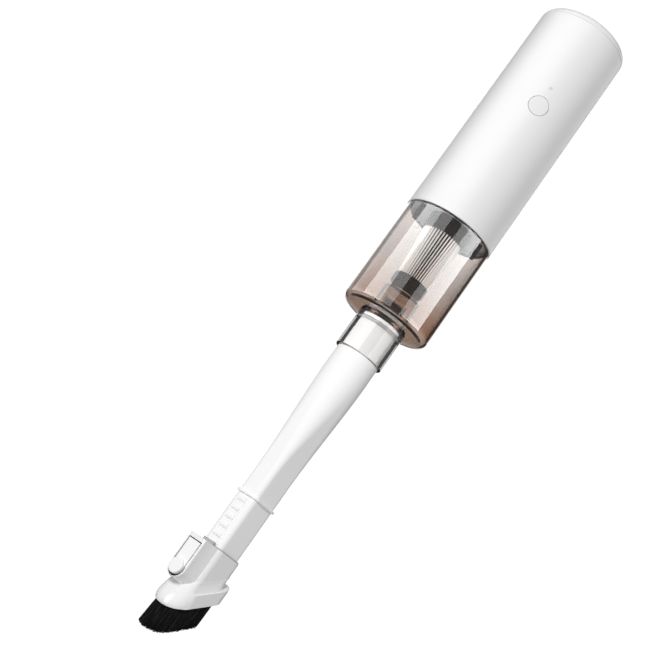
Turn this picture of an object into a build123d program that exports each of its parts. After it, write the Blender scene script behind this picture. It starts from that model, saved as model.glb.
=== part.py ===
from build123d import *
import math
import os

os.makedirs("parts", exist_ok=True)

# ---------------------------------------------------------------- driving dimensions, mm
# z runs from the flat rear face to the brush tip; +X is the side with the ribs and the latch button.
TURN = -43.0            # turn of the body's inner layout about z, so that the power button faces the front of the grip
R_BODY = 33.0           # body barrel radius
WALL_BODY = 2.2
R_IN = R_BODY - WALL_BODY
Z_COVER = 6.0           # rear cover to housing seam
R_EDGE = 5.5            # rounded rear edge
Z_SEAM = 173.0          # housing to dust cup seam
Z_FRONT = Z_SEAM - 151.0   # the motor, fan, front frame and filter are laid out 151 mm behind the seam
R_CUP = 32.25           # dust cup outer radius
WALL_CUP = 2.0
Z_CUP0 = 173.5
Z_CUP1 = 251.0          # cup front face
R_SHOULDER = 3.6        # cup front shoulder
R_SPIGOT = 17.4         # inlet collar outer radius
R_NECK = 15.55          # collar neck in the cup's front wall
R_SOCKET = 14.2         # collar bore
Z_SPIGOT = 280.0
Z_ORING = 257.0
R_PLUG = 13.7           # nozzle plug
Z_PLUG = 253.1
R_NOZZLE = 15.3         # round end of the nozzle
Z_ROUND = 291.5         # round section ends
Z_FLAT = 378.0          # flat section begins
NOZ_X, NOZ_Y, NOZ_R = 23.2, 17.0, 3.6
WALL_NOZ = 1.7
Z_STOP = 393.6          # brush stop ring
RIB_Z = [398.8, 405.3, 411.8, 418.3, 424.8, 431.3]
RIB_H = 0.9
GAP = 0.3               # running clearance
Z_BRUSH = 433.0         # rear edge of the brush collar
WALL_BRUSH = 1.5
SLANT = 0.60            # slope of the mouth plane, dz per dx
Z_RIM = 468.2           # mouth plane at the axis
BRISTLE = 17.6          # free bristle length
X_LATCH = 25.2          # outer face of the latch housing
Z_SLOT = 436.3          # rear end of the latch button's slot
Z_PAD = 455.5           # centre of the round press pad
Z_PIVOT, X_PIVOT = 447.5, 19.5
R_FLANGE = 15.6         # filter flange
R_FILTER0, R_FILTER1 = 14.6, 11.4
PLEATS = 38
R_DUCT = 13.5
R_CELL = 9.2
R_CAN = 17.0
R_FAN = 23.5
X_BOARD = 17.0          # inner face of the control board
Z_BUTTON = 77.0
Z_LIGHT = 62.0
Z_PORT = 24.0
R_BOSS_PITCH = 26.0
BOSS_ANGLES = [90, 210, 330]


# ---------------------------------------------------------------- helpers
def cyl(r, z0, z1, x=0.0, y=0.0):
    return Pos(x, y, (z0 + z1) / 2) * Cylinder(r, z1 - z0)


def box(x0, x1, y0, y1, z0, z1):
    return Pos((x0 + x1) / 2, (y0 + y1) / 2, (z0 + z1) / 2) * Box(x1 - x0, y1 - y0, z1 - z0)


def ring(ro, ri, z0, z1, x=0.0, y=0.0):
    return cyl(ro, z0, z1, x, y) - cyl(ri, z0 - 1, z1 + 1, x, y)


def xcyl(r, x0, x1, y, z):
    return Pos((x0 + x1) / 2, y, z) * Rot(0, 90, 0) * Cylinder(r, x1 - x0)


def ycyl(r, y0, y1, x, z):
    return Pos(x, (y0 + y1) / 2, z) * Rot(90, 0, 0) * Cylinder(r, y1 - y0)


def rrect(w, h, r, z, cx=0.0, cy=0.0):
    return Pos(cx, cy, z) * RectangleRounded(w, h, r)


def prism(w, h, r, z0, z1, cx=0.0, cy=0.0):
    return extrude(rrect(w, h, r, z0, cx, cy), z1 - z0, dir=(0, 0, 1))


def turn(shape, deg):
    return Rot(0, 0, deg) * shape


def polar(r, deg):
    return r * math.cos(math.radians(deg)), r * math.sin(math.radians(deg))


def spin(points):
    """A solid turned about z from (radius, z) points."""
    pts = [(r, 0, z) for r, z in points]
    return revolve(make_face(Polyline(*pts, close=True)), Axis.Z)


def save(name, *shapes, local=False, lift=0.0):
    solids = []
    for s in shapes:
        s = Pos(0, 0, lift) * s
        if local:
            s = turn(s, TURN)
        solids += list(s.solids())
    for s in solids:
        assert s.is_valid, name
    out = Compound(children=solids) if len(solids) > 1 else solids[0]
    out.label = name
    export_step(out, f"parts/{name}.step")
    print(name, len(solids), round(sum(s.volume for s in solids)))


# ---------------------------------------------------------------- rear cover and its screws (body layout, turned by TURN)
cover = spin([(0, 0), (R_BODY, 0), (R_BODY, Z_COVER), (R_IN - 0.15, Z_COVER), (R_IN - 0.15, 9.6), (R_IN - 2.6, 9.6), (R_IN - 2.6, 3.0), (0, 3.0)])
cover = fillet(cover.edges().filter_by(GeomType.CIRCLE).filter_by(lambda e: abs(e.center().Z) < 0.01 and e.radius > R_BODY - 0.1), R_EDGE)
cover = fillet(cover.edges().filter_by(GeomType.CIRCLE).filter_by(lambda e: abs(e.center().Z - Z_COVER) < 0.01 and e.radius > R_BODY - 0.1), 0.35)
for ring_r, count, ln in ((9.5, 10, 7.0), (17.5, 18, 7.0)):
    s = extrude(SlotOverall(ln, 2.2), 8)
    for i in range(count):
        cover -= Rot(0, 0, i * 360 / count) * Pos(ring_r, 0, -2) * s
screws = []
for a in BOSS_ANGLES:
    bx, by = polar(R_BOSS_PITCH, a)
    cover += cyl(4.0, 2.5, 9.7, bx, by)
for a in BOSS_ANGLES:
    bx, by = polar(R_BOSS_PITCH, a)
    cover -= cyl(1.6, -1, 12, bx, by)
    cover -= cyl(2.9, -1, 4.6, bx, by)
    screw = cyl(2.6, 2.9, 4.6, bx, by) + cyl(1.25, 4.6, 20, bx, by)
    screw -= Pos(bx, by, 2.9) * Rot(0, 0, a) * Box(3.4, 0.8, 1.4)
    screw -= Pos(bx, by, 2.9) * Rot(0, 0, a + 90) * Box(3.4, 0.8, 1.4)
    screws.append(screw)
save("rear_cover", cover, local=True)
save("rear_cover_screws", *screws, local=True)

# ---------------------------------------------------------------- main housing
housing = ring(R_BODY, R_IN, Z_COVER, Z_SEAM)
housing = fillet(housing.edges().filter_by(GeomType.CIRCLE).filter_by(lambda e: e.radius > R_BODY - 0.1), 0.4)
for a in BOSS_ANGLES:
    bx, by = polar(R_BOSS_PITCH, a)
    housing += cyl(4.0, 9.8, 30, bx, by) + turn(box(R_BOSS_PITCH, R_IN + 0.6, -1.6, 1.6, 9.8, 30), a)
for a in BOSS_ANGLES:
    bx, by = polar(R_BOSS_PITCH, a)
    housing -= cyl(1.3, 9, 26, bx, by)
housing += ring(R_IN + 0.5, R_IN - 1.8, Z_FRONT + 133.0, Z_FRONT + 135.0)             # ledge that the front frame's skirt lands on
housing += box(-R_IN - 0.4, -28.4, -9.0, 9.0, Z_PORT - 7, Z_PORT + 7) & cyl(R_IN + 0.6, 0, 60)   # thick pad around the charge port
port_hole = Pos(-30, 0, Z_PORT) * Rot(0, 90, 0) * extrude(RectangleRounded(4.6, 10.4, 2.2), 12, both=True)
housing -= port_hole
housing -= xcyl(7.2, 20, 40, 0, Z_BUTTON)
housing -= xcyl(1.1, 20, 40, 0, Z_LIGHT)
save("main_housing", housing, local=True)

# ---------------------------------------------------------------- exhaust foam, battery, boards
save("exhaust_foam", cyl(21.0, 3.05, 6.5), local=True)

cells = [cyl(R_CELL, 16, 81, -6.0, y) - ring(R_CELL + 1, R_CELL - 0.25, 77.0, 78.2, -6.0, y) for y in (-9.8, 9.8)]
save("battery_cells", *cells, local=True)
contacts = [box(-9, -3, -15, 15, 15.7, 16.0), box(-9, -3, -14, -5, 81.0, 81.3), box(-9, -3, 5, 14, 81.0, 81.3)]
save("battery_contacts", *contacts, local=True)
plate = cyl(R_IN - 0.2, 12.4, 15.7) & box(-16.5, 5.6, -40, 40, 0, 40)
plate2 = cyl(R_IN - 0.2, 81.3, 84.6) & box(-16.5, 5.6, -40, 40, 60, 90)
holder = plate + plate2 + box(3.5, 5.6, -19.5, 19.5, 12.4, 84.6)
bx, by = polar(R_BOSS_PITCH, 90)
holder -= cyl(4.4, 0, 40, bx, by)
holder -= box(-2.2, 2.2, by, 40, 0, 40)
for y in (-9.8, 9.8):
    holder -= cyl(3.2, 80, 90, -6.0, y)
    holder -= cyl(3.2, 10, 15, -6.0, y)
save("battery_holder", holder, local=True)

board = box(X_BOARD, X_BOARD + 1.6, -14, 14, 32, 110)
save("control_board", board, local=True)
parts_on_board = [
    xcyl(4.0, X_BOARD - 8.5, X_BOARD, -7, 44),
    xcyl(3.0, X_BOARD - 6.5, X_BOARD, 3, 42),
    box(X_BOARD - 4.2, X_BOARD, -10, 0, 58, 68),
    box(X_BOARD - 2.2, X_BOARD, 3, 11, 60, 66),
    box(X_BOARD - 1.2, X_BOARD, 3, 10, 72, 79),
    box(X_BOARD + 1.6, X_BOARD + 2.4, -0.8, 0.8, Z_LIGHT - 1.0, Z_LIGHT + 1.0),
    box(X_BOARD + 1.6, X_BOARD + 3.4, -9, -4, 94, 100),
]
save("board_components", *parts_on_board, local=True)
X_TACT = X_BOARD + 1.6
tact = box(X_TACT, X_TACT + 3.5, -3, 3, Z_BUTTON - 3, Z_BUTTON + 3) + xcyl(1.75, X_TACT + 3.5, X_TACT + 4.6, 0, Z_BUTTON)
save("power_switch", tact, local=True)
pipe = xcyl(1.0, X_TACT + 1.2, 40, 0, Z_LIGHT) + xcyl(1.9, 27.6, 29.6, 0, Z_LIGHT)
pipe = pipe & cyl(R_BODY, 0, 100)
save("light_pipe", pipe, local=True)

charge_board = box(-28.2, -16.6, -8.0, 8.0, Z_PORT - 3.4, Z_PORT - 1.8)
save("charge_board", charge_board, local=True)
shell = Pos(-29.6, 0, Z_PORT) * Rot(0, 90, 0) * extrude(RectangleRounded(3.4, 9.2, 1.65), 7.4)
shell -= Pos(-30.0, 0, Z_PORT) * Rot(0, 90, 0) * extrude(RectangleRounded(2.7, 8.5, 1.3), 6.2)
shell += box(-28.9, -23.4, -3.3, 3.3, Z_PORT - 0.35, Z_PORT + 0.35)
shell += box(-27.8, -22.4, -3.0, 3.0, Z_PORT - 1.8, Z_PORT - 1.5)
save("usb_socket", shell, local=True)

# ---------------------------------------------------------------- power button and its return spring
button = xcyl(6.9, 28.4, 36, 0, Z_BUTTON) & cyl(R_BODY, 0, 120)
button += xcyl(8.4, 28.3, 29.3, 0, Z_BUTTON)
button += xcyl(2.0, X_TACT + 6.1, 28.4, 0, Z_BUTTON)
save("power_button", button, local=True)


def coil(r_mean, wire, x0, x1, turns, z):
    """A coil spring along x, its wire centre line from x0 to x1."""
    hx = Helix(pitch=(x1 - x0) / turns, height=x1 - x0, radius=r_mean)
    section = Plane(origin=hx @ 0, z_dir=hx % 0) * Circle(wire)
    return Pos(x0, 0, z) * Rot(0, 90, 0) * sweep(section, path=hx)


save("button_spring", coil(5.4, 0.3, X_TACT + 0.35, 28.3 - 0.35, 5, Z_BUTTON), local=True)

# ---------------------------------------------------------------- motor and fan
can = cyl(R_CAN, 92, 126) - cyl(R_CAN - 1.0, 91, 124.8) - cyl(3.9, 120, 130)
save("motor_can", can, local=True, lift=Z_FRONT)
bell = cyl(R_CAN, 89, 92) - cyl(3.4, 88, 95)
bell += box(-9.2, -8.4, -1.5, 1.5, 85.8, 89) + box(8.4, 9.2, -1.5, 1.5, 85.8, 89)
save("motor_end_bell", bell, local=True, lift=Z_FRONT)
save("motor_bearings", ring(3.9, 1.75, 123.2, 126.0), ring(3.4, 1.75, 89.2, 91.8), local=True, lift=Z_FRONT)
mag = ring(R_CAN - 1.1, R_CAN - 3.8, 97, 122)
mag -= box(-40, 40, -3.5, 3.5, 80, 130)
save("motor_magnets", mag, local=True, lift=Z_FRONT)
core = cyl(12.6, 100, 119) - cyl(1.6, 99, 120)
for i in range(7):
    core -= turn(box(6.0, 14, -1.0, 1.0, 99, 120), i * 360 / 7) + turn(cyl(2.3, 99, 120, 8.2, 0), i * 360 / 7)
save("rotor_core", core, local=True, lift=Z_FRONT)
windings = [turn(cyl(2.0, 96.5, 122, 8.2, 0), i * 360 / 7) for i in range(7)]
save("rotor_windings", *windings, local=True, lift=Z_FRONT)
save("motor_commutator", ring(4.6, 1.6, 92.8, 96.0), local=True, lift=Z_FRONT)
save("motor_shaft", cyl(1.6, 87, 141.5), local=True, lift=Z_FRONT)

diffuser = cyl(26.4, 126, 128.6) - cyl(4.4, 120, 130)
for i in range(12):
    diffuser -= turn(Pos(20.8, 0, 125) * extrude(SlotOverall(6.6, 3.6), 8), i * 30)
for y in (-10, 10):
    diffuser -= cyl(1.5, 120, 130, 0, y)
diffuser += ring(26.4, 25.2, 128.6, 130.0)
save("fan_diffuser", diffuser, local=True, lift=Z_FRONT)
mscrews = []
for y in (-10, 10):
    mscrews.append(cyl(2.4, 128.6, 130.0, 0, y) + cyl(1.25, 126.05, 128.6, 0, y))
save("motor_screws", *mscrews, local=True, lift=Z_FRONT)

impeller = cyl(R_FAN, 131.0, 132.2) + cyl(5.0, 131.0, 139.5)
blade_pts = [(5.0, 132.0), (R_FAN, 132.0), (R_FAN, 135.0), (12.0, 138.6), (5.0, 139.2)]
blade = extrude(make_face(Polyline(*[(r, 0, z) for r, z in blade_pts], close=True)), 0.5, dir=(0, 1, 0), both=True)
for i in range(9):
    impeller += turn(Pos(0, 2.5, 0) * blade, i * 40)
impeller &= cyl(R_FAN, 130, 140)
impeller -= cyl(1.6, 130, 142)
save("impeller", impeller, local=True, lift=Z_FRONT)
shroud = spin([(26.4, 130.0), (26.4, 136.2), (13.0, 141.4), (13.0, 143.0), (10.6, 143.0), (10.6, 140.3), (12.4, 139.7), (25.0, 135.9), (25.0, 130.0)])
save("fan_shroud", shroud, local=True, lift=Z_FRONT)
save("motor_damper", ring(R_IN - 0.1, 26.45, 126.4, 131.5), local=True, lift=Z_FRONT)

# ---------------------------------------------------------------- front frame, seals
frame = ring(R_IN - 0.1, R_IN - 2.1, 135.0, 147.0) + ring(R_IN - 0.1, 11.6, 144.2, 147.0) + ring(R_FLANGE - 1.95, 11.6, 146.0, 152.0)
for i in range(3):
    frame += turn(box(-12.4, 12.4, -0.9, 0.9, 144.4, 146.8), i * 60)
frame += ring(7.6, 6.2, 144.4, 146.8)
save("front_frame", frame, local=True, lift=Z_FRONT)
save("inlet_gasket", ring(17.0, 11.2, 143.0, 144.2), local=True, lift=Z_FRONT)
save("cup_seal", ring(32.0, 28.8, Z_SEAM, Z_SEAM + 0.4), local=True)
lug = fillet(box(20.8, 25.1, -3.4, 3.4, 147.0, 157.5).edges().filter_by(Axis.Z), 0.8)      # lugs that guide the cup on
save("cup_lugs", turn(lug, 47.0), turn(lug, 227.0), lift=Z_FRONT)

# ---------------------------------------------------------------- leads
lead_solids = []
for y, x in ((-5.0, 9.7), (5.0, 9.7)):
    p = FilletPolyline((X_BOARD - 0.02, y, 86.6), (x, y, 86.6), (x, y * 0.2, 86.6), radius=1.5)
    lead_solids.append(sweep(Plane(origin=p @ 0, z_dir=p % 0) * Circle(0.45), path=p))
save("motor_leads", *lead_solids, local=True, lift=Z_FRONT)
blead = []
for y in (-9.8, 9.8):
    p = FilletPolyline((-6, y, 81.4), (-6, y, 86.2), (8, 1.3 * y, 86.2), (X_BOARD - 0.02, 1.3 * y, 86.2), radius=1.0)
    blead.append(sweep(Plane(origin=p @ 0, z_dir=p % 0) * Circle(0.5), path=p))
save("battery_leads", *blead, local=True)

# ---------------------------------------------------------------- filter
flange = ring(R_FLANGE, R_FLANGE - 1.7, 147.3, 158.5) + ring(R_FLANGE, 10.5, 155.5, 158.5)
flange = fillet(flange.edges().filter_by(GeomType.CIRCLE).filter_by(lambda e: e.radius > R_FLANGE - 0.1 and abs(e.center().Z - 158.5) < 0.01), 0.6)
save("filter_flange", flange, lift=Z_FRONT)
save("filter_seal", ring(R_FLANGE - 2.0, 11.8, 152.2, 155.5), lift=Z_FRONT)


def star(r, z):
    pts = []
    for i in range(PLEATS * 2):
        a = math.pi * i / PLEATS
        rr = r if i % 2 == 0 else r - 2.6
        pts.append((rr * math.cos(a), rr * math.sin(a), z))
    return make_face(Polyline(*pts, close=True))


media = loft([star(R_FILTER0, 158.5), star(R_FILTER1, 195.5)], ruled=True)
media -= Pos(0, 0, 177.0) * Cone(10.6, 7.6, 37.0 + 0.02)
save("filter_media", media, lift=Z_FRONT)
corec = Pos(0, 0, 177.0) * Cone(10.4, 7.4, 37.0) - Pos(0, 0, 177.0) * Cone(9.4, 6.4, 37.02)
for i in range(4):
    for z in (162.4, 173.6, 184.8):
        corec -= turn(box(-20, 20, -1.8, 1.8, z, z + 6.0), i * 45)
save("filter_core", corec, lift=Z_FRONT)
cap = cyl(12.6, 195.5, 202.1)
cap = fillet(cap.edges().filter_by(GeomType.CIRCLE).filter_by(lambda e: e.center().Z > 202), 0.8)
save("filter_end_cap", cap, lift=Z_FRONT)

# ---------------------------------------------------------------- dust cup and its inlet collar
ri = R_CUP - WALL_CUP
Z_WALL = Z_CUP1 - WALL_CUP - 0.1      # inside of the cup's front wall
cup = spin([(R_CUP, Z_CUP0), (R_CUP, Z_CUP1), (R_NECK + 0.05, Z_CUP1), (R_NECK + 0.05, Z_WALL), (ri, Z_WALL), (ri, Z_CUP0)])


def circ(shape, r, z):
    return shape.edges().filter_by(GeomType.CIRCLE).filter_by(lambda e: abs(e.radius - r) < 0.05 and abs(e.center().Z - z) < 0.05)


cup = fillet(circ(cup, R_CUP, Z_CUP1), R_SHOULDER)
cup = fillet(circ(cup, ri, Z_WALL), R_SHOULDER - 1.6)
cup = fillet(circ(cup, R_CUP, Z_CUP0), 0.35)
save("dust_cup", cup)
collar = spin([(R_SPIGOT, Z_CUP1), (R_SPIGOT, Z_SPIGOT), (R_SOCKET, Z_SPIGOT), (R_SOCKET, Z_WALL), (R_NECK, Z_WALL), (R_NECK, Z_CUP1)])
collar = fillet(circ(collar, R_SPIGOT, Z_SPIGOT), 0.5)
collar -= ring(16.1, R_SOCKET - 1, Z_ORING - 1.15, Z_ORING + 1.15)
save("inlet_collar", collar)
save("spigot_seal", Pos(0, 0, Z_ORING) * Torus(14.95, 0.9))

Z_HINGE = 245.6
duct = ring(R_DUCT, R_DUCT - 1.4, 230.2, 252.5) + ring(16.6, R_DUCT - 1.4, Z_WALL - 1.4, Z_WALL) + cyl(R_DUCT, 229.0, 230.4)
duct += box(-14.2, -6.0, -9.2, 9.2, 231.2, 244.4)                 # flat seat that the flap closes on
duct += box(-16.4, -12.4, 7.0, 9.2, 243.6, 247.8) + box(-16.4, -12.4, -9.2, -7.0, 243.6, 247.8)
duct -= cyl(R_DUCT - 1.4, 230.4, 260)
duct -= box(-30, -2, -7.2, 7.2, 232.6, 242.8)
duct -= ycyl(0.72, -12, 12, -15.2, Z_HINGE)
save("inlet_duct", duct, local=True)
save("flap_pin", ycyl(0.7, -9.2, 9.2, -15.2, Z_HINGE), local=True)
flap = box(-15.9, -14.5, -8.8, 8.8, 231.8, 243.2) + box(-15.9, -14.5, -6.4, 6.4, 242.6, Z_HINGE)
flap += ycyl(1.35, -6.4, 6.4, -15.2, Z_HINGE)
flap -= ycyl(1.0, -12, 12, -15.2, Z_HINGE)
save("inlet_flap", flap, local=True)


# ---------------------------------------------------------------- nozzle
def smooth(t):
    return t * t * (3 - 2 * t)


def noz_section(z, inset):
    t = 0.0 if z <= Z_ROUND else 1.0 if z >= Z_FLAT else smooth((z - Z_ROUND) / (Z_FLAT - Z_ROUND))
    w = 2 * R_NOZZLE + (NOZ_X - 2 * R_NOZZLE) * t - 2 * inset
    h = 2 * R_NOZZLE + (NOZ_Y - 2 * R_NOZZLE) * t - 2 * inset
    r = (R_NOZZLE - 0.15) + (NOZ_R - R_NOZZLE + 0.15) * t - inset
    return rrect(w, h, r, z)


levels = [Z_ROUND, 304.0, 318.0, 334.0, 350.0, 364.0, Z_FLAT]
outer = loft([noz_section(z, 0) for z in levels])
inner = loft([noz_section(z, WALL_NOZ) for z in levels])
Z_TAPER, Z_TIP = 447.0, 489.0
TIP_X, TIP_Y, TIP_R = 20.0, 13.6, 3.2
tip_out = loft([rrect(NOZ_X, NOZ_Y, NOZ_R, Z_TAPER), rrect(TIP_X, TIP_Y, TIP_R, Z_TIP)], ruled=True)
tip_in = loft([rrect(NOZ_X - 2 * WALL_NOZ, NOZ_Y - 2 * WALL_NOZ, NOZ_R - WALL_NOZ, Z_TAPER), rrect(TIP_X - 2 * WALL_NOZ, TIP_Y - 2 * WALL_NOZ, TIP_R - WALL_NOZ, Z_TIP)], ruled=True)
nozzle = cyl(R_PLUG, Z_PLUG, Z_SPIGOT + 1.5) + cyl(R_NOZZLE, Z_SPIGOT + 0.3, Z_ROUND) + outer + prism(NOZ_X, NOZ_Y, NOZ_R, Z_FLAT, Z_TAPER) + tip_out
nozzle = fillet(circ(nozzle, R_NOZZLE, Z_SPIGOT + 0.3), 0.4)
nozzle += prism(NOZ_X + 2.8, NOZ_Y + 2.8, NOZ_R + 1.4, Z_STOP, Z_STOP + 1.4)
for z in RIB_Z:
    nozzle += Pos(NOZ_X / 2, 0, z) * Rot(90, 0, 0) * extrude(Ellipse(RIB_H, 1.8), 3.6, both=True)
nozzle -= cyl(R_PLUG - 1.6, Z_PLUG - 1, Z_SPIGOT + 5.5)
nozzle -= cyl(R_NOZZLE - WALL_NOZ, Z_SPIGOT + 5.5, Z_ROUND)
nozzle -= inner
nozzle -= prism(NOZ_X - 2 * WALL_NOZ, NOZ_Y - 2 * WALL_NOZ, NOZ_R - WALL_NOZ, Z_FLAT, Z_TAPER)
nozzle -= tip_in
b = math.atan(SLANT)


def slant(d, x0, x1, hy, r):
    """A rounded rectangle lying in the plane d below the mouth plane."""
    xc = (x0 + x1) / 2
    pl = Plane(origin=(xc, 0, Z_RIM + SLANT * xc - d), x_dir=(math.cos(b), 0, math.sin(b)), z_dir=(-math.sin(b), 0, math.cos(b)))
    return pl * RectangleRounded((x1 - x0) / math.cos(b), 2 * hy, r)


def slant_prism(d0, d1, x0, x1, hy, r):
    return loft([slant(d0, x0, x1, hy, r), slant(d1, x0, x1, hy, r)], ruled=True)


nozzle -= slant_prism(6.0, -40.0, -60, 60, 50, 2)
save("crevice_nozzle", nozzle)

# ---------------------------------------------------------------- sliding brush
BX, BY, BR = NOZ_X + 2 * GAP, NOZ_Y + 2 * GAP, NOZ_R + GAP
X_TOP = NOZ_X / 2                     # outer face of the nozzle under the ribs
CHANNEL = box(X_TOP - 1.5, X_TOP + 1.6, -5.3, 5.3, 410, 540)      # way for the ribs
sleeve = prism(BX + 2 * WALL_BRUSH, BY + 2 * WALL_BRUSH, BR + WALL_BRUSH, Z_BRUSH, 482.0)
sleeve -= slant_prism(3.0, -60.0, -60, 60, 50, 2)
bulge = loft([
    slant(0.0, -17.6, 18.3, 12.7, 11.8),
    slant(4.5, -17.2, 19.6, 12.7, 11.6),
    slant(9.0, -15.8, 18.8, 11.9, 10.6),
    slant(13.0, -14.2, 16.8, 11.0, 8.6),
    slant(18.0, -13.5, 13.7, 10.4, 5.6),
])
band = slant_prism(0.0, 10.0, -18.6, 15.4, 13.2, 9.0)


def tongue(x, hw, z0, zc):
    """A flat shape with a round front end, in a plane across x."""
    edges = Polyline((x, -hw, zc), (x, -hw, z0), (x, hw, z0), (x, hw, zc)) + ThreePointArc((x, hw, zc), (x, 0, zc + hw), (x, -hw, zc))
    return make_face(edges)


boss = loft([tongue(9.5, 8.8, Z_BRUSH, 456.0), tongue(13.0, 8.2, Z_BRUSH, 455.9), tongue(16.5, 7.7, Z_BRUSH, 455.7), tongue(X_LATCH, 7.4, Z_BRUSH, Z_PAD)])
boss = fillet(boss.faces().sort_by(Axis.X)[-1].edges(), 1.2)
brush = sleeve + bulge + band + boss
brush -= prism(BX, BY, BR, 400, 540)
brush -= slant_prism(4.6, -40.0, -17.2, 16.9, 11.7, 10.6)
brush -= CHANNEL
pocket = extrude(tongue(15.2, 6.2, Z_SLOT - 0.35, Z_PAD), 15.0, dir=(1, 0, 0)) + xcyl(6.6, 15.2, 30.2, 0, Z_PAD)
brush -= pocket
brush -= box(X_TOP + 1.0, 16.0, -3.6, 3.6, Z_SLOT + 1.3, Z_SLOT + 7.3)
brush -= ycyl(0.87, -7.0, 12.0, X_PIVOT, Z_PIVOT)
save("brush_housing", brush)
save("latch_pin", ycyl(0.85, -7.0, 7.2, X_PIVOT, Z_PIVOT))
liner = (pocket & box(15.2, 24.3, -8, 8, 430, 470)) - extrude(tongue(14.0, 5.65, Z_SLOT, Z_PAD), 20.0, dir=(1, 0, 0)) - xcyl(6.3, 14.0, 34.0, 0, Z_PAD)
liner -= ycyl(1.2, -9.0, 9.0, X_PIVOT, Z_PIVOT)
save("latch_liner", liner)
wiper = prism(BX + 2 * WALL_BRUSH - 0.8, BY + 2 * WALL_BRUSH - 0.8, BR + WALL_BRUSH - 0.4, Z_BRUSH - 0.7, Z_BRUSH)
wiper -= prism(BX + 0.1, BY + 0.1, BR + 0.05, Z_BRUSH - 3, Z_BRUSH + 3)
wiper += box(X_TOP + 1.6, X_TOP + 3.6, -4.9, 4.9, Z_BRUSH - 2.2, Z_BRUSH)
wiper -= CHANNEL
save("slot_wiper", wiper)

carrier = slant_prism(4.5, 1.6, -17.0, 16.7, 11.5, 10.4)
carrier -= prism(BX + 0.3, BY + 0.3, BR, 400, 540)
carrier -= CHANNEL
save("bristle_carrier", carrier)
bristles = loft([slant(1.6, -16.7, 16.3, 11.2, 10.0), slant(-BRISTLE, -15.3, 17.7, 11.2, 10.0)], ruled=True)
bristles -= prism(BX + 0.3, BY + 0.3, BR, 400, 540)
bristles -= CHANNEL
save("bristles", bristles)

# ---------------------------------------------------------------- latch button and spring
X_PLATE = X_LATCH - 2.8
latch = extrude(tongue(X_PLATE, 5.2, Z_SLOT + 0.35, Z_PAD), 2.8, dir=(1, 0, 0))
pad = xcyl(5.4, X_LATCH - 0.4, X_LATCH + 2.2, 0, Z_PAD)
pad = fillet(pad.edges().sort_by(Axis.X)[-1:], 1.0)
latch += pad
latch += box(17.6, X_PLATE + 0.4, -4.0, 4.0, Z_PIVOT - 2.4, Z_PIVOT + 2.4)
latch += box(X_TOP + 1.4, X_PLATE + 0.4, -3.0, 3.0, Z_SLOT + 2.9, Z_SLOT + 5.7)
latch -= ycyl(1.15, -12, 12, X_PIVOT, Z_PIVOT)
save("latch_button", latch)
save("latch_spring", coil(2.4, 0.3, 15.2 + 0.35, X_PLATE - 0.35, 4, Z_PAD - 0.4))
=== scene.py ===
import math
import random

import bpy
from mathutils import Matrix, Vector


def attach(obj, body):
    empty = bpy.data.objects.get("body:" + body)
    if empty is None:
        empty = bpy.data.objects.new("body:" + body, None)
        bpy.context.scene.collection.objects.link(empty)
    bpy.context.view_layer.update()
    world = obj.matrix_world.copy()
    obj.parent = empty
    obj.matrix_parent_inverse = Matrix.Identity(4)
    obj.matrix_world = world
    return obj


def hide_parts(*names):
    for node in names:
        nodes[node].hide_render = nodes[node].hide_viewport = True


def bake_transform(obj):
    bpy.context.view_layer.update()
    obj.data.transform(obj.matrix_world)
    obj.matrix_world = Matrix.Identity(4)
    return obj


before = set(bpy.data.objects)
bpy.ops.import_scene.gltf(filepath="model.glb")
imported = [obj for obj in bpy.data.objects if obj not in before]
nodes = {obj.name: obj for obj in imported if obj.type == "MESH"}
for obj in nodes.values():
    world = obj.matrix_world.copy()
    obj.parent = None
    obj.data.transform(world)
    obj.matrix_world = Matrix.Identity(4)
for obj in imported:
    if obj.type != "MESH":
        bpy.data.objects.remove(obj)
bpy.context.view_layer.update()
scene = bpy.context.scene
MM = 0.001


# ------------------------------------------------------------------ materials
def material(name, color, rough, metallic=0.0, coat=0.0, spec=0.5):
    m = bpy.data.materials.new(name)
    m.use_nodes = True
    b = m.node_tree.nodes["Principled BSDF"]
    b.inputs["Base Color"].default_value = (*color, 1.0)
    b.inputs["Roughness"].default_value = rough
    b.inputs["Metallic"].default_value = metallic
    b.inputs["Coat Weight"].default_value = coat
    b.inputs["Specular IOR Level"].default_value = spec
    return m


def grain(m, scale, strength, distance, rough_lo=None, rough_hi=None):
    """Fine surface grain from object coordinates, and a slight change in gloss."""
    nt = m.node_tree
    b = nt.nodes["Principled BSDF"]
    tc = nt.nodes.new("ShaderNodeTexCoord")
    n = nt.nodes.new("ShaderNodeTexNoise")
    n.inputs["Scale"].default_value = scale
    n.inputs["Detail"].default_value = 3.0
    nt.links.new(tc.outputs["Object"], n.inputs["Vector"])
    bump = nt.nodes.new("ShaderNodeBump")
    bump.inputs["Strength"].default_value = strength
    bump.inputs["Distance"].default_value = distance
    nt.links.new(n.outputs["Fac"], bump.inputs["Height"])
    nt.links.new(bump.outputs["Normal"], b.inputs["Normal"])
    if rough_lo is not None:
        n2 = nt.nodes.new("ShaderNodeTexNoise")
        n2.inputs["Scale"].default_value = 45.0
        n2.inputs["Detail"].default_value = 4.0
        nt.links.new(tc.outputs["Object"], n2.inputs["Vector"])
        mr = nt.nodes.new("ShaderNodeMapRange")
        mr.inputs["To Min"].default_value = rough_lo
        mr.inputs["To Max"].default_value = rough_hi
        nt.links.new(n2.outputs["Fac"], mr.inputs["Value"])
        nt.links.new(mr.outputs["Result"], b.inputs["Roughness"])
    return m


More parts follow.
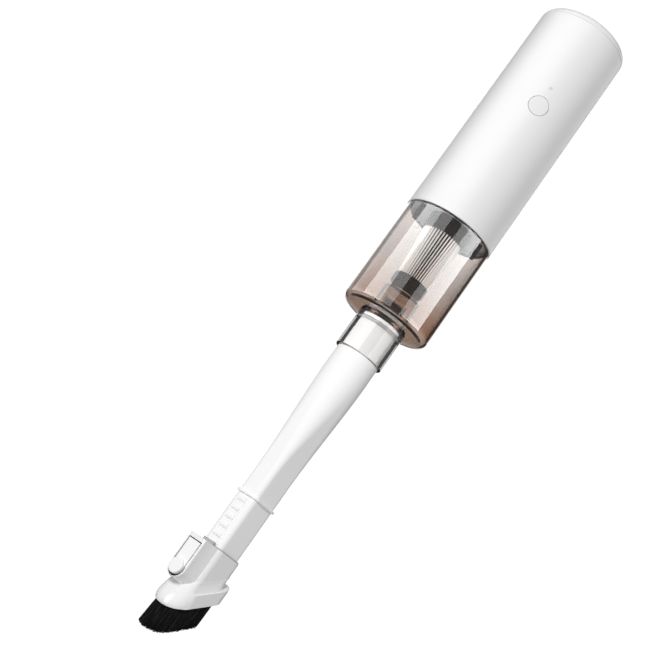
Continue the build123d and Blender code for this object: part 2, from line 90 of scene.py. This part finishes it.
white = grain(material("white_shell", (0.77, 0.77, 0.775), 0.34), 900.0, 0.04, 0.0002, 0.30, 0.38)
white_matte = grain(material("white_nozzle", (0.93, 0.93, 0.93), 0.6, spec=0.3), 900.0, 0.05, 0.0002, 0.55, 0.65)
white_gloss = grain(material("white_brush", (0.87, 0.87, 0.87), 0.22), 900.0, 0.03, 0.0002, 0.20, 0.25)
grey = grain(material("filter_grey", (0.008, 0.008, 0.0085), 0.45, spec=0.3), 700.0, 0.05, 0.0002)
# also colours latch_liner, a black liner put in the latch slot so its gaps read dark: painted shade
rubber_and_gap_shade = grain(material("black_rubber", (0.02, 0.02, 0.02), 0.6), 700.0, 0.15, 0.0002)
# also colours slot_wiper, grey pieces put in the channel mouth and at the sleeve's rear edge so they read as shade:
# painted shade
silicone_and_slot_shade = grain(material("grey_silicone", (0.42, 0.42, 0.42), 0.6), 600.0, 0.10, 0.0002, 0.55, 0.68)
hair = grain(material("bristle_black", (0.006, 0.006, 0.006), 0.45, spec=0.4), 1500.0, 0.05, 0.0001, 0.35, 0.55)
# streaks along the hairs, a little lighter or darker at random; the lighter streaks are painted glints
ht = hair.node_tree
htc = ht.nodes.new("ShaderNodeTexCoord")
hmap = ht.nodes.new("ShaderNodeMapping")
hmap.inputs["Scale"].default_value = (900.0, 900.0, 25.0)
ht.links.new(htc.outputs["Object"], hmap.inputs["Vector"])
hn = ht.nodes.new("ShaderNodeTexNoise")
hn.inputs["Scale"].default_value = 1.0
hn.inputs["Detail"].default_value = 2.0
ht.links.new(hmap.outputs["Vector"], hn.inputs["Vector"])
# painted highlight: the light end of this ramp stands in for glints on the bristles
hair_tone_and_glint_ramp = ht.nodes.new("ShaderNodeValToRGB")
hair_tone_and_glint_ramp.color_ramp.elements[0].position = 0.50
hair_tone_and_glint_ramp.color_ramp.elements[0].color = (0.004, 0.004, 0.004, 1)
hair_tone_and_glint_ramp.color_ramp.elements[1].position = 0.72
hair_tone_and_glint_ramp.color_ramp.elements[1].color = (0.045, 0.045, 0.045, 1)
ht.links.new(hn.outputs["Fac"], hair_tone_and_glint_ramp.inputs["Fac"])
ht.links.new(hair_tone_and_glint_ramp.outputs["Color"], ht.nodes["Principled BSDF"].inputs["Base Color"])
steel = grain(material("steel", (0.62, 0.62, 0.63), 0.3, metallic=1.0), 1400.0, 0.08, 0.0001, 0.24, 0.38)
brass = grain(material("brass", (0.75, 0.55, 0.25), 0.3, metallic=1.0), 1200.0, 0.06, 0.0001, 0.24, 0.40)
iron = grain(material("core_iron", (0.18, 0.18, 0.19), 0.55, metallic=0.8), 900.0, 0.20, 0.0002, 0.48, 0.66)
copper = grain(material("copper_wire", (0.72, 0.38, 0.2), 0.35, metallic=1.0), 1600.0, 0.25, 0.0002, 0.28, 0.44)
wrap = grain(material("cell_wrap", (0.05, 0.2, 0.5), 0.35), 300.0, 0.06, 0.0002, 0.28, 0.42)
dark = grain(material("dark_plastic", (0.035, 0.035, 0.04), 0.5), 700.0, 0.1, 0.0002)
board = grain(material("board_green", (0.02, 0.16, 0.07), 0.4), 800.0, 0.10, 0.0001, 0.33, 0.48)
chip = grain(material("chip_black", (0.02, 0.02, 0.022), 0.5), 900.0, 0.08, 0.0001, 0.44, 0.58)
lead = grain(material("lead_red", (0.45, 0.02, 0.015), 0.45), 700.0, 0.08, 0.0001, 0.40, 0.52)
foam = grain(material("foam_grey", (0.06, 0.06, 0.06), 0.9), 600.0, 0.8, 0.001)

clear = material("clear_pipe", (0.86, 0.87, 0.88), 0.25)
clear.node_tree.nodes["Principled BSDF"].inputs["Transmission Weight"].default_value = 0.2

smoke = material("smoked_clear", (1.0, 1.0, 1.0), 0.02)
st = smoke.node_tree
sb = st.nodes["Principled BSDF"]
sb.inputs["Transmission Weight"].default_value = 1.0
sb.inputs["IOR"].default_value = 1.46
vol = st.nodes.new("ShaderNodeVolumeAbsorption")
vol.inputs["Color"].default_value = (0.56, 0.395, 0.315, 1.0)
vol.inputs["Density"].default_value = 185.0
st.links.new(vol.outputs["Volume"], st.nodes["Material Output"].inputs["Volume"])
# the tint deepens from the seam towards the inlet
tc = st.nodes.new("ShaderNodeTexCoord")
sep = st.nodes.new("ShaderNodeSeparateXYZ")
st.links.new(tc.outputs["Object"], sep.inputs["Vector"])
zr = st.nodes.new("ShaderNodeMapRange")
zr.inputs["From Min"].default_value = 0.172
zr.inputs["From Max"].default_value = 0.252
st.links.new(sep.outputs["Z"], zr.inputs["Value"])
ramp = st.nodes.new("ShaderNodeValToRGB")
TINT = [(0.00, (0.97, 0.97, 0.97)), (0.14, (0.94, 0.94, 0.94)), (0.26, (0.895, 0.895, 0.895)), (0.42, (0.78, 0.775, 0.77)),
        (0.65, (0.74, 0.68, 0.64)), (0.82, (0.64, 0.50, 0.42)), (0.91, (0.64, 0.50, 0.42)), (0.95, (0.93, 0.92, 0.91))]
for i, (pos, col) in enumerate(TINT):
    e = ramp.color_ramp.elements[i] if i < 2 else ramp.color_ramp.elements.new(pos)
    e.position = pos
    e.color = (*col, 1.0)
st.links.new(zr.outputs["Result"], ramp.inputs["Fac"])
st.links.new(ramp.outputs["Color"], sb.inputs["Base Color"])

collar = material("collar_clear", (0.93, 0.93, 0.93), 0.03)
ct = collar.node_tree
cb = ct.nodes["Principled BSDF"]
cb.inputs["Transmission Weight"].default_value = 1.0
cb.inputs["IOR"].default_value = 1.46
cvol = ct.nodes.new("ShaderNodeVolumeAbsorption")
cvol.inputs["Color"].default_value = (0.50, 0.44, 0.40, 1.0)
cvol.inputs["Density"].default_value = 70.0
ct.links.new(cvol.outputs["Volume"], ct.nodes["Material Output"].inputs["Volume"])

duct = material("duct_clear", (0.97, 0.95, 0.94), 0.03)
duct.node_tree.nodes["Principled BSDF"].inputs["Transmission Weight"].default_value = 1.0
duct.node_tree.nodes["Principled BSDF"].inputs["IOR"].default_value = 1.46

# pleated paper: white folds, with painted shade: dark bands painted at each fold valley where shade falls
PLEATS = 38
paper = material("filter_paper", (0.86, 0.86, 0.85), 0.8)
nt = paper.node_tree
tc = nt.nodes.new("ShaderNodeTexCoord")
radial = nt.nodes.new("ShaderNodeTexGradient")
radial.gradient_type = "RADIAL"
nt.links.new(tc.outputs["Object"], radial.inputs["Vector"])
mul = nt.nodes.new("ShaderNodeMath")
mul.operation = "MULTIPLY"
mul.inputs[1].default_value = float(PLEATS)
nt.links.new(radial.outputs["Fac"], mul.inputs[0])
pp = nt.nodes.new("ShaderNodeMath")
pp.operation = "PINGPONG"
pp.inputs[1].default_value = 0.5
nt.links.new(mul.outputs[0], pp.inputs[0])
# painted shade: this ramp turns the valley part of every pleat near black
ramp = nt.nodes.new("ShaderNodeValToRGB")
ramp.color_ramp.elements[0].position = 0.20
ramp.color_ramp.elements[0].color = (0.92, 0.92, 0.915, 1)
ramp.color_ramp.elements[1].position = 0.30
ramp.color_ramp.elements[1].color = (0.008, 0.008, 0.008, 1)
nt.links.new(pp.outputs[0], ramp.inputs["Fac"])
nt.links.new(ramp.outputs["Color"], nt.nodes["Principled BSDF"].inputs["Base Color"])

LOOK = {
    "main_housing": white, "rear_cover": white, "power_button": white, "crevice_nozzle": white_matte,
    "brush_housing": white_gloss, "latch_button": white_matte,
    "dust_cup": smoke, "inlet_duct": duct, "inlet_collar": collar,
    "filter_flange": grey, "filter_end_cap": grey, "cup_lugs": grey, "front_frame": white, "filter_core": grey,
    "filter_media": paper,
    "cup_seal": rubber_and_gap_shade, "filter_seal": rubber_and_gap_shade, "spigot_seal": silicone_and_slot_shade, "inlet_gasket": rubber_and_gap_shade, "motor_damper": rubber_and_gap_shade,
    # slot_wiper and latch_liner are dark pieces standing in for the shade in those gaps: painted shade
    "inlet_flap": rubber_and_gap_shade, "slot_wiper": silicone_and_slot_shade, "latch_liner": rubber_and_gap_shade, "bristles": hair, "bristle_carrier": hair,
    "rear_cover_screws": steel, "motor_screws": steel, "motor_shaft": steel, "motor_can": steel, "flap_pin": steel,
    "latch_pin": steel, "latch_spring": steel, "button_spring": steel, "usb_socket": steel, "battery_contacts": steel,
    "motor_bearings": brass, "rotor_core": iron, "motor_magnets": iron, "rotor_windings": copper, "motor_commutator": copper,
    "battery_cells": wrap, "battery_holder": dark, "motor_end_bell": dark, "fan_diffuser": dark, "fan_shroud": dark,
    "impeller": dark, "control_board": board, "charge_board": board, "board_components": chip, "power_switch": chip,
    "motor_leads": lead, "battery_leads": lead, "light_pipe": clear, "exhaust_foam": foam,
}
for name, obj in nodes.items():
    obj.data.materials.clear()
    obj.data.materials.append(LOOK[name])


# ------------------------------------------------------------------ springs: a fixed copy of each spring's mesh stands in for the part
def spring(name, node):
    obj = bpy.data.objects.new(name, nodes[node].data.copy())
    scene.collection.objects.link(obj)
    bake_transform(obj)
    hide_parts(node)


spring("button_coil", "button_spring")
spring("latch_coil", "latch_spring")

# ------------------------------------------------------------------ bristles: thin strands around the mouth
SLANT, Z_RIM, BRISTLE, LEAN = 0.60, 468.2, 17.6, 0.08
rng = random.Random(7)


def inside_round(x, y, x0, x1, hy, r):
    """True inside a rounded rectangle."""
    cx = (x0 + x1) / 2
    dx = abs(x - cx) - ((x1 - x0) / 2 - r)
    dy = abs(y) - (hy - r)
    return math.hypot(max(dx, 0), max(dy, 0)) <= r and dx <= r and dy <= r


ALONG = math.hypot(1.0, SLANT)            # length along the slanted mouth per x
verts, faces = [], []
tufts = {}
count = 0
while count < 6200:
    x, y = rng.uniform(-16.6, 16.2), rng.uniform(-11.1, 11.1)
    if not inside_round(x * ALONG, y, -16.6 * ALONG, 16.2 * ALONG, 11.1, 9.9) or inside_round(x, y, -13.6, 12.4, 9.3, 3.9):
        continue
    if 11.5 < x < 13.4 and abs(y) < 5.4:
        continue
    count += 1
    z0 = Z_RIM + SLANT * x - 1.5
    cell = (math.floor(x / 1.7), math.floor(y / 1.7))
    if cell not in tufts:
        tufts[cell] = (rng.gauss(0, 0.011), rng.gauss(0, 0.011), rng.gauss(0, 0.2))
    tuft = tufts[cell]
    ln = BRISTLE + 1.5 + min(tuft[2] + rng.gauss(0, 0.3), 0.4)
    lean = Vector((rng.gauss(LEAN, 0.014) + tuft[0], rng.gauss(0, 0.014) + tuft[1], 1.0 + LEAN * SLANT))
    if x < -12.9 and abs(y) < 9.4:            # stays off the nozzle's flat sides when the brush slides
        lean.x = min(lean.x, (-12.2 - x) / ln)
    if abs(y) >= 9.0 and abs(x) < 13.4:
        lean.y = max(lean.y, (9.0 - y) / ln) if y > 0 else min(lean.y, (-9.0 - y) / ln)
    bow = Vector((max(-0.2, min(0.2, rng.gauss(0, 0.12))), max(-0.2, min(0.2, rng.gauss(0, 0.12))), 0.0))
    rad = rng.uniform(0.10, 0.15)
    spin = rng.uniform(0, 2.1)
    rings = []
    for k in range(4):
        t = k / 3
        p = Vector((x, y, z0)) + lean * (ln * t) + bow * (4 * t * (1 - t))
        rr = rad * (1.0 - 0.45 * t)
        ring = []
        for s in range(3):
            a = spin + s * 2.0944
            ring.append(len(verts))
            verts.append(((p.x + rr * math.cos(a)) * MM, (p.y + rr * math.sin(a)) * MM, p.z * MM))
        rings.append(ring)
    for k in range(3):
        for s in range(3):
            faces.append((rings[k][s], rings[k][(s + 1) % 3], rings[k + 1][(s + 1) % 3], rings[k + 1][s]))
    faces.append(tuple(reversed(rings[0])))
    faces.append(tuple(rings[3]))
me = bpy.data.meshes.new("brush_hair")
me.from_pydata(verts, [], faces)
me.update()
strands = bpy.data.objects.new("brush_hair", me)
scene.collection.objects.link(strands)
me.materials.append(hair)
for p in me.polygons:
    p.use_smooth = True
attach(strands, "brush")
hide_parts("bristles")

# ------------------------------------------------------------------ stage
bpy.ops.mesh.primitive_circle_add(vertices=96, radius=0.5, fill_type="NGON", location=(0, 0, -0.0005))
floor = bpy.context.object
floor.name = "floor"
floor_mat = material("floor_pale", (0.22, 0.22, 0.22), 0.9, spec=0.0)
fb = floor_mat.node_tree.nodes["Principled BSDF"]
fb.inputs["Emission Color"].default_value = (1, 1, 1, 1)
fb.inputs["Emission Strength"].default_value = 0.98
floor.data.materials.append(floor_mat)
floor.visible_diffuse = False
floor.visible_glossy = False
floor.visible_shadow = False

AZ, EL, ROLL = math.radians(47.0), math.radians(12.444), math.radians(35.801)
toward = Vector((math.sin(AZ) * math.cos(EL), -math.cos(AZ) * math.cos(EL), math.sin(EL)))
front = Vector((math.sin(AZ), -math.cos(AZ), 0.0))
side = Vector((math.cos(AZ), math.sin(AZ), 0.0))

world = bpy.data.worlds.new("studio")
scene.world = world
world.use_nodes = True
wt = world.node_tree
bg = wt.nodes["Background"]
wtc = wt.nodes.new("ShaderNodeTexCoord")
dot = wt.nodes.new("ShaderNodeVectorMath")
dot.operation = "DOT_PRODUCT"
dot.inputs[1].default_value = (-toward.x, -toward.y, -toward.z)
wt.links.new(wtc.outputs["Generated"], dot.inputs[0])
ring = wt.nodes.new("ShaderNodeValToRGB")
RING = [(0.0, 0.38), (0.40, 0.28), (0.60, 0.05), (0.9135, 0.05), (0.9367, 1.0)]
for i, (pos, v) in enumerate(RING):
    e = ring.color_ramp.elements[i] if i < 2 else ring.color_ramp.elements.new(pos)
    e.position = pos
    e.color = (v, v, v, 1.0)
wt.links.new(dot.outputs["Value"], ring.inputs["Fac"])
wt.links.new(ring.outputs["Color"], bg.inputs["Color"])
bg.inputs["Strength"].default_value = 1.05
pale = wt.nodes.new("ShaderNodeBackground")
pale.inputs["Color"].default_value = (1, 1, 1, 1)
pale.inputs["Strength"].default_value = 1.05
path = wt.nodes.new("ShaderNodeLightPath")
pick = wt.nodes.new("ShaderNodeMixShader")
wt.links.new(path.outputs["Is Camera Ray"], pick.inputs["Fac"])
wt.links.new(bg.outputs["Background"], pick.inputs[1])
wt.links.new(pale.outputs["Background"], pick.inputs[2])
even = wt.nodes.new("ShaderNodeBackground")
even.inputs["Color"].default_value = (1, 1, 1, 1)
even.inputs["Strength"].default_value = 0.455
soft = wt.nodes.new("ShaderNodeMixShader")
wt.links.new(path.outputs["Is Diffuse Ray"], soft.inputs["Fac"])
wt.links.new(pick.outputs["Shader"], soft.inputs[1])
wt.links.new(even.outputs["Background"], soft.inputs[2])
wt.links.new(soft.outputs["Shader"], wt.nodes["World Output"].inputs["Surface"])


def area(name, loc, target, sx, sy, power, spread=180.0, only=None):
    d = bpy.data.lights.new(name, "AREA")
    d.shape = "RECTANGLE"
    d.size, d.size_y = sx, sy
    d.energy = power
    d.spread = math.radians(spread)
    o = bpy.data.objects.new(name, d)
    scene.collection.objects.link(o)
    z = (Vector(loc) - Vector(target)).normalized()
    x = Vector((0, 0, 1)).cross(z).normalized()
    y = z.cross(x)
    o.matrix_world = Matrix((
        (x.x, y.x, z.x, loc[0]), (x.y, y.y, z.y, loc[1]), (x.z, y.z, z.z, loc[2]), (0, 0, 0, 1)))
    o.visible_camera = False
    if only:
        o.visible_transmission = False
        col = bpy.data.collections.new(name + "_receivers")
        for r in only:
            col.objects.link(r)
        o.light_linking.receiver_collection = col
    return o


def around(deg, dist, z):
    """A point beside the object, deg to the left of the line towards the camera."""
    a = math.radians(deg)
    return front * (dist * math.cos(a)) + side * (dist * math.sin(a)) + Vector((0, 0, z))


mid = Vector((0, 0, 0.25))
key = area("key", around(23, 1.2, 0.02), mid, 0.35, 0.35, 10.0)
key.visible_glossy = False
key.visible_transmission = False
back = area("back_fill", around(180, 1.2, 0.35), mid, 0.6, 0.6, 7.0)
back.visible_glossy = False
back.visible_transmission = False
# soft boxes whose reflections run down the clear cup
glass = [nodes["dust_cup"]]


def softbox(name, a0, a1, radiance, height=0.30, dist=0.45, level=0.16, on=glass):
    c, h = math.radians((a0 + a1) / 2), math.radians((a1 - a0) / 2)
    w = 2 * dist * math.tan(h)
    return area(name, around(math.degrees(c), dist, level), Vector((0, 0, level)), w, height, radiance * math.pi * w * height, only=on)


strips = [softbox("box_left", 37.0, 81.0, 10.4),
          softbox("box_right", -81.0, -37.0, 11.2)]
for o in strips:
    o.data.color = (0.95, 0.99, 1.0)
softbox("rim_left", 86.0, 124.0, 3.2)
softbox("edge_left", 124.0, 166.0, 1.0)
softbox("fill_left", 9.2, 37.0, 3.8)
softbox("fill_right", -37.0, -17.0, 4.2)
neck = [nodes["inlet_collar"]]
softbox("collar_left", 20.0, 104.0, 4.4, level=0.20, on=neck)
softbox("collar_right", -80.0, -30.0, 3.6, level=0.20, on=neck)
# broad reflections on the barrel
barrel = [nodes["main_housing"], nodes["rear_cover"]]
for sheen in (softbox("sheen_left", 6.0, 92.0, 1.9, height=0.6, level=-0.12, on=barrel),
              softbox("sheen_right", -150.0, -105.0, 1.6, height=0.6, level=-0.12, on=barrel)):
    sheen.visible_diffuse = False
brush_gloss = softbox("sheen_brush", 48.0, 66.0, 9.0, height=0.5, level=0.55, on=[nodes["brush_housing"]])
brush_gloss.visible_diffuse = False
for g in ("dust_cup", "inlet_collar", "inlet_duct"):
    nodes[g].visible_shadow = False

# ------------------------------------------------------------------ camera
cam_data = bpy.data.cameras.new("camera")
cam = bpy.data.objects.new("camera", cam_data)
scene.collection.objects.link(cam)
scene.camera = cam
cam_data.sensor_width = 36.0
cam_data.lens = 72.0
cam_data.clip_start, cam_data.clip_end = 0.01, 50.0
TARGET, DIST = side * 0.02978 + Vector((0, 0, 0.27529)), 0.85098
axis_up = (Vector((0, 0, 1)) - toward * toward.z).normalized()
right = (-math.sin(ROLL) * axis_up - math.cos(ROLL) * side).normalized()
up = (-math.cos(ROLL) * axis_up + math.sin(ROLL) * side).normalized()
cam.matrix_world = Matrix((
    (right.x, up.x, toward.x, TARGET.x + toward.x * DIST),
    (right.y, up.y, toward.y, TARGET.y + toward.y * DIST),
    (right.z, up.z, toward.z, TARGET.z + toward.z * DIST),
    (0, 0, 0, 1),
))

scene.view_settings.view_transform = "Standard"
scene.view_settings.look = "None"
